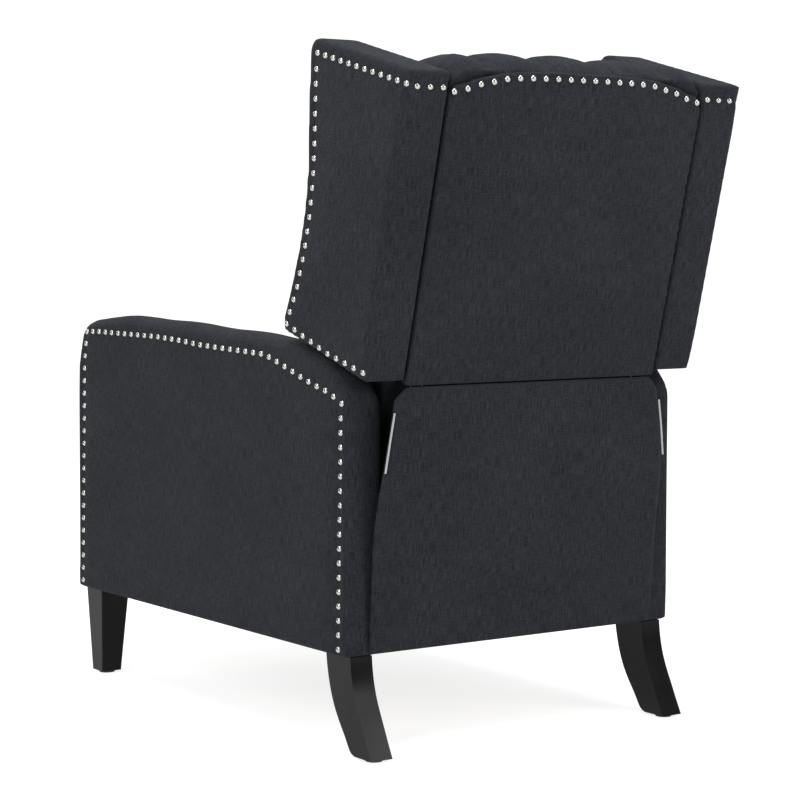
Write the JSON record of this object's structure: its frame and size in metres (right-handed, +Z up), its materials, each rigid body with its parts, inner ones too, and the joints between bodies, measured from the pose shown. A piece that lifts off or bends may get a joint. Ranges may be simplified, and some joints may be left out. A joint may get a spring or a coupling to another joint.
{
  "type": "recliner armchair",
  "caption": "Push-back wing recliner armchair with a tufted back, padded arms trimmed in nailheads, a footrest that folds out and tapered legs.",
  "frame": {"origin": "on the floor under the middle of the chair's overall box", "axes": "+Z up, the sitter faces -Y, +X is the sitter's left"},
  "size_m": [0.6484, 1.039, 1.0812],
  "materials": {
    "upholstery_cloth": "charcoal plain-weave upholstery cloth, matt",
    "padding_foam": "cut upholstery foam under the cloth",
    "hardwood": "unfinished hardwood and plywood",
    "black_lacquer": "black lacquered wood, satin",
    "nickel_nails": "nickel-plated domed nailheads",
    "mechanism_steel": "black powder-coated pressed steel",
    "spring_wire": "oiled sinuous spring wire",
    "zinc_screws": "zinc-plated screws and bolts",
    "webbing": "black woven webbing and spring cover",
    "glide_nylon": "black nylon furniture glides",
    "zip_tape": "pale woven edge tape"
  },
  "bodies": {
    "base": {"arm_frame_left": "hardwood", "arm_frame_right": "hardwood", "arm_padding": "padding_foam", "arm_cover_left": "upholstery_cloth", "arm_cover_right": "upholstery_cloth", "arm_nails_left": "nickel_nails", "arm_nails_right": "nickel_nails", "front_leg_left": "black_lacquer", "front_leg_right": "black_lacquer", "rear_leg_left": "black_lacquer", "rear_leg_right": "black_lacquer", "leg_glides": "glide_nylon", "leg_bolts": "zinc_screws", "front_stretcher": "hardwood", "rear_rail": "hardwood", "middle_rail": "hardwood", "corner_blocks": "hardwood", "mechanism_plate_left": "mechanism_steel", "mechanism_plate_right": "mechanism_steel", "plate_screws": "zinc_screws", "lower_rear_cloth": "upholstery_cloth", "rear_zip_tapes": "zip_tape"},
    "back": {"back_frame": "hardwood", "back_springs": "spring_wire", "back_spring_clips": "spring_wire", "back_webbing": "webbing", "back_cushion": "upholstery_cloth", "back_buttons": "upholstery_cloth", "outer_back_panel": "upholstery_cloth", "back_nails": "nickel_nails", "wing_frame_left": "hardwood", "wing_frame_right": "hardwood", "wing_padding": "padding_foam", "wing_cover_left": "upholstery_cloth", "wing_cover_right": "upholstery_cloth", "wing_nails_left": "nickel_nails", "wing_nails_right": "nickel_nails", "wing_ties": "hardwood", "back_brackets": "mechanism_steel"},
    "seat": {"seat_frame": "hardwood", "seat_deck": "webbing", "seat_springs": "spring_wire", "seat_cushion": "upholstery_cloth", "seat_front_band": "upholstery_cloth", "seat_runners": "mechanism_steel", "linkage_brackets": "mechanism_steel"},
    "cranks": {"crank_left": "mechanism_steel", "crank_right": "mechanism_steel", "torque_tube": "mechanism_steel"},
    "guide_left": {"guide_arm_left": "mechanism_steel"},
    "guide_right": {"guide_arm_right": "mechanism_steel"},
    "carry_left": {"carrying_link_left": "mechanism_steel"},
    "carry_right": {"carrying_link_right": "mechanism_steel"},
    "upper_left": {"upper_link_left": "mechanism_steel"},
    "upper_right": {"upper_link_right": "mechanism_steel"},
    "footrest": {"footrest_board": "hardwood", "footrest_pad": "upholstery_cloth", "footrest_brackets": "mechanism_steel", "footrest_screws": "zinc_screws"}
  },
  "joints": [
    {"name": "recline", "type": "hinge", "parent": "base", "child": "back", "pos_m": [0, 0.29547, 0.4], "axis": [-1, 0, 0], "range_deg": [0, 32], "deforming": ["lower_rear_cloth"]},
    {"name": "seat_slide", "type": "slide", "parent": "base", "child": "seat", "axis": [0, -1, 0], "range_m": [0, 0.0441]},
    {"name": "crank_turn", "type": "hinge", "parent": "seat", "child": "cranks", "pos_m": [0, -0.32453, 0.368], "axis": [-1, 0, 0], "range_deg": [0, 90.1]},
    {"name": "guide_turn_left", "type": "hinge", "parent": "seat", "child": "guide_left", "pos_m": [0.231, -0.37103, 0.3864], "axis": [-1, 0, 0], "range_deg": [0, 90.1]},
    {"name": "carry_turn_left", "type": "hinge", "parent": "cranks", "child": "carry_left", "pos_m": [0.231, -0.22303, 0.1985], "axis": [-1, 0, 0], "range_deg": [-90.1, 0]},
    {"name": "upper_turn_left", "type": "hinge", "parent": "cranks", "child": "upper_left", "pos_m": [0.231, -0.22303, 0.2415], "axis": [-1, 0, 0], "range_deg": [-90.1, 0]},
    {"name": "guide_turn_right", "type": "hinge", "parent": "seat", "child": "guide_right", "pos_m": [-0.231, -0.37103, 0.3864], "axis": [-1, 0, 0], "range_deg": [0, 90.1]},
    {"name": "carry_turn_right", "type": "hinge", "parent": "cranks", "child": "carry_right", "pos_m": [-0.231, -0.22303, 0.1985], "axis": [-1, 0, 0], "range_deg": [-90.1, 0]},
    {"name": "upper_turn_right", "type": "hinge", "parent": "cranks", "child": "upper_right", "pos_m": [-0.231, -0.22303, 0.2415], "axis": [-1, 0, 0], "range_deg": [-90.1, 0]},
    {"name": "footrest_turn", "type": "hinge", "parent": "carry_left", "child": "footrest", "pos_m": [0, -0.43653, 0.283], "axis": [-1, 0, 0], "range_deg": [0, 90.1]}
  ],
  "couplings": [
    {"joint": "seat_slide", "follows": "recline", "m_per_rad": 0.078782},
    {"joint": "crank_turn", "follows": "recline", "ratio": 2.8125},
    {"joint": "guide_turn_left", "follows": "recline", "ratio": 2.8125},
    {"joint": "carry_turn_left", "follows": "recline", "ratio": -2.8125},
    {"joint": "upper_turn_left", "follows": "recline", "ratio": -2.8125},
    {"joint": "guide_turn_right", "follows": "recline", "ratio": 2.8125},
    {"joint": "carry_turn_right", "follows": "recline", "ratio": -2.8125},
    {"joint": "upper_turn_right", "follows": "recline", "ratio": -2.8125},
    {"joint": "footrest_turn", "follows": "recline", "ratio": 2.8125}
  ]
}
